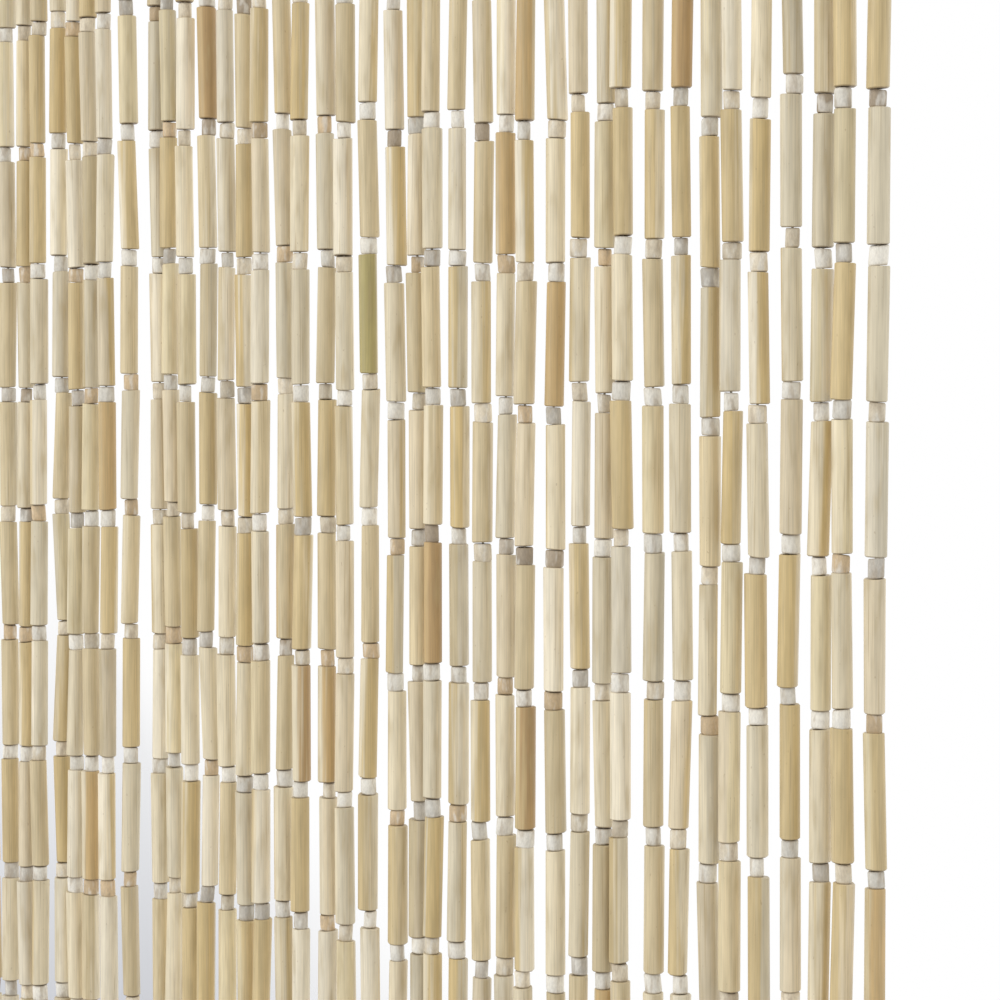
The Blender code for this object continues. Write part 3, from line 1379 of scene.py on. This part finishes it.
@dataclass
class Threads:
    """The thread down each string, and the knot under its last bead."""

    plan: CurtainPlan
    threading: Threading
    sides: int = 5
    radius: float = 0.4 * MM
    root: float = 3 * MM
    knot_radius: float = 1.3 * MM
    knot_height: float = 2.4 * MM
    # The thread between the last bead and its knot
    knot_gap: float = 0.2 * MM
    knot_rings: int = 6
    # Under 1, the knot is fuller than a sine
    knot_power: float = 0.6
    sharp: float = math.radians(80)

    def build(self) -> Piece:
        """Make all the threads as one mesh and return it.

        Each thread is a row of rings down its string, from inside the strip
        through the middle of every bead. It swells to a knot at the bottom: the
        last rings' radius is the knot's times a power of the sine of their place
        on it.

        Returns:
            The new object, at the origin.
        """
        plan = self.plan
        beads = (self.threading.bead_tops + self.threading.bead_ends) / 2
        start = plan.line_at(np.full((plan.string_count, 1), self.root - plan.strip_height))
        last = self.threading.bead_ends[:, -1:, :]
        knot = np.linspace(0.0, 1.0, self.knot_rings)
        below = np.repeat(last, len(knot), axis=1)
        below[..., 2] -= self.knot_gap + knot * self.knot_height
        line = np.concatenate((start, self.threading.tube_tops[:, :1], beads, below), axis=1)
        radius = np.full(line.shape[1], self.radius)
        swell = self.knot_radius * np.sin(knot * math.pi) ** self.knot_power
        radius[-self.knot_rings:] = np.maximum(swell, self.radius)
        angle = np.arange(self.sides) * (2 * math.pi / self.sides)
        ring = np.stack((np.cos(angle), np.sin(angle), np.zeros(self.sides)), axis=-1)
        points = line[:, :, None, :] + radius[None, :, None, None] * ring[None, None]
        rings = line.shape[1]
        row, side = RoundSolids.corners(rings - 1, self.sides)
        one = row * self.sides + side % self.sides
        first = np.arange(plan.string_count)[:, None, None] * rings * self.sides
        piece = make_piece("threads", points, (one[None] + first).reshape(-1, 4), self.sharp)
        piece.data.materials.append(ThreadFinish().material())
        return piece


@dataclass
class HeadingStrip:
    """The narrow wooden strip that the strings hang from."""

    plan: CurtainPlan
    width: float = 900 * MM
    depth: float = 12 * MM
    edge: float = 1.2 * MM
    edge_steps: int = 3

    def build(self) -> Piece:
        """Make the strip as a bar with rounded edges.

        Returns:
            The new object, at the origin.
        """
        mesh = bpy.data.meshes.new("heading_strip")
        half = Vector((self.width / 2, self.depth / 2, self.plan.strip_height / 2))
        signs = np.array([(x, y, z) for x in (-1, 1) for y in (-1, 1) for z in (-1, 1)])
        points = signs * np.array(half) - np.array((0, 0, half.z))
        quads = [(0, 1, 3, 2), (4, 6, 7, 5), (0, 4, 5, 1), (2, 3, 7, 6), (0, 2, 6, 4)]
        quads.append((1, 5, 7, 3))
        mesh.from_pydata(points.tolist(), [], quads)
        strip = add_object("heading_strip", mesh)
        round_off = strip.modifiers.new("rounded edges", "BEVEL")
        round_off.width = self.edge
        round_off.segments = self.edge_steps
        mesh.materials.append(StripWood(self.plan).material())
        return strip


@dataclass(frozen=True)
class PhotoView:
    """The camera, where the picture was taken from."""

    place: Triple = (0.8643, -0.6813, -0.6893)
    heading: float = math.radians(39.551)
    down: float = math.radians(1.39)
    lens: float = 97.13
    sensor: float = 36.0
    shift_y: float = -0.0964
    nearest: float = 0.02
    farthest: float = 60.0

    @property
    def ahead(self) -> Vector:
        """The level direction in which the camera looks."""
        return Vector((-math.sin(self.heading), math.cos(self.heading), 0.0))

    @property
    def right(self) -> Vector:
        """The level direction to the camera's right."""
        return Vector((math.cos(self.heading), math.sin(self.heading), 0.0))

    def place_camera(self) -> None:
        """Make the scene's camera."""
        data = bpy.data.cameras.new("photo_view")
        data.lens = self.lens
        data.sensor_width = self.sensor
        data.shift_y = self.shift_y
        data.clip_start = self.nearest
        data.clip_end = self.farthest
        camera = add_object("photo_view", data)
        camera.location = self.place
        camera.rotation_euler = (math.pi / 2 - self.down, 0.0, self.heading)
        bpy.context.scene.camera = camera


@dataclass(frozen=True)
class Studio:
    """A pale floor whose grey, a painted shade, fades out, a white surround and a soft lamp.
    """

    view: PhotoView
    floor_level: float = -2.06
    floor_reach: float = 30.0
    floor_sides: int = 96
    # A grey which, lit, gives the floor's painted shade near the curtain
    floor_colour_and_shade: Colour = (0.500, 0.510, 0.545)
    floor_roughness: float = 0.9
    floor_shine: float = 0.1
    # Distances from the curtain at which the floor starts to fade and is gone
    fade_from: float = 4.1
    fade_to: float = 23.0
    # The line past which the floor's painted shade fades to white: its slope, and its
    # distances from the camera
    shade_edge_slope: float = 0.25
    shade_edge_from: float = 0.50
    shade_edge_to: float = 1.40
    surround: float = 1.09
    surround_gain: float = 0.17
    # How far to the right of the way ahead the strongest light lies, as a slope
    behind_turn: float = 0.2
    aim: Triple = (0.25, 0.0, -0.75)
    # How far to the left of the camera the key lamp stands, in degrees
    key_turn: float = 70.0
    key_distance: float = 6.6
    key_rise: float = 1.6
    key_size: float = 3.0
    key_power: float = 137.0

    def build(self) -> None:
        """Set the floor, the surround and the lamp."""
        self.lay_floor()
        self.light_surround()
        turn = math.radians(self.key_turn)
        way = -self.view.ahead * math.cos(turn) - self.view.right * math.sin(turn)
        key = Vector(self.aim) + way * self.key_distance + Vector((0, 0, self.key_rise))
        self.lamp("key_lamp", key, size=self.key_size, power=self.key_power)

    def lamp(self, name: str, place: Vector, size: float, power: float) -> None:
        """Hang a square soft lamp at place, turned to the curtain.

        Args:
            name: the lamp's name.
            place: where it hangs.
            size: how wide its square is, in metres.
            power: its power, in watts.
        """
        data = bpy.data.lights.new(name, "AREA")
        data.shape = "SQUARE"
        data.size = size
        data.energy = power
        lamp = add_object(name, data)
        lamp.location = place
        lamp.rotation_euler = (Vector(self.aim) - place).to_track_quat("-Z", "Y").to_euler()

    def lay_floor(self) -> None:
        """Lay a round pale floor under the curtain.

        Its grey is a painted shade, which fades out into the white surround with
        the distance past a line that runs across the view, and with the distance
        from the curtain.
        """
        angle = np.linspace(0, 2 * math.pi, self.floor_sides, endpoint=False)
        x, y = self.floor_reach * np.cos(angle), self.floor_reach * np.sin(angle)
        rim = np.stack((x, y, np.full(self.floor_sides, self.floor_level)), axis=-1)
        mesh = bpy.data.meshes.new("floor")
        mesh.from_pydata(rim.tolist(), [], [tuple(range(self.floor_sides))])
        floor = add_object("floor", mesh)
        board = NodeBoard.of_material("pale_floor")
        board.shade(Base_Color=solid(self.floor_colour_and_shade), Roughness=self.floor_roughness)
        board.shade(Specular_IOR_Level=self.floor_shine)
        # Painted shade: the floor's grey fades to white past a line across the view
        across = self.view.right + self.view.ahead * self.shade_edge_slope
        start = across.dot(Vector(self.view.place))
        edge = Ramp(start + self.shade_edge_from, start + self.shade_edge_to)
        past_shade_edge = board.ramp(board.along(board.place(), across), edge)
        length = board.node("ShaderNodeVectorMath", operation="LENGTH")
        board.feed(length.inputs[0], board.place())
        nearness = board.maths("DIVIDE", 1.0, length.outputs["Value"])
        far = board.ramp(nearness, Ramp(1 / self.fade_from, 1 / self.fade_to))
        fade = board.node("ShaderNodeMixShader")
        board.feed(fade.inputs[0], board.maths("MAXIMUM", past_shade_edge, far))
        board.feed(fade.inputs[1], board.shader.outputs[0])
        board.feed(fade.inputs[2], board.node("ShaderNodeBsdfTransparent").outputs[0])
        board.feed(board.tree.nodes["Material Output"].inputs["Surface"], fade.outputs[0])
        mesh.materials.append(board.owner)

    def light_surround(self) -> None:
        """Make the world white to the eye, and as a light stronger behind the curtain.

        The light's strength is its mean plus its gain times the cosine of the
        angle to the way that leads behind the curtain.
        """
        world = bpy.data.worlds.new("surround")
        bpy.context.scene.world = world
        board = NodeBoard(world, "Background")
        behind = (self.view.ahead + self.view.right * self.behind_turn).normalized()
        sight = board.node("ShaderNodeTexCoord").outputs["Generated"]
        toward = board.along(sight, behind)
        light = board.maths("MULTIPLY_ADD", toward, self.surround_gain, self.surround)
        seen = board.node("ShaderNodeMix", data_type="FLOAT")
        board.feed(seen.inputs[0], board.node("ShaderNodeLightPath").outputs["Is Camera Ray"])
        board.feed(seen.inputs[2], light)
        board.feed(seen.inputs[3], 1.0)
        board.shade(Color=solid((1.0, 1.0, 1.0)), Strength=seen.outputs[0])


def main() -> None:
    """Build and dress the curtain, then light it."""
    logging.basicConfig(level=logging.INFO, format="%(name)s: %(message)s")
    plan = CurtainPlan()
    threading = Threading(plan)
    pieces: list[Piece] = []
    pieces += Tubes(plan, threading).build()
    pieces += Beads(plan, threading).build()
    pieces.append(Threads(plan, threading).build())
    pieces.append(HeadingStrip(plan).build())
    for piece in pieces:
        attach(piece, BODY)
        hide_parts(CAD_NODE)
        log.info("%s: %d faces", piece.name, len(piece.data.polygons))
    view = PhotoView()
    view.place_camera()
    Studio(view).build()
    bpy.context.scene.view_settings.view_transform = "Standard"


if __name__ == "__main__":
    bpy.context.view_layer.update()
    main()
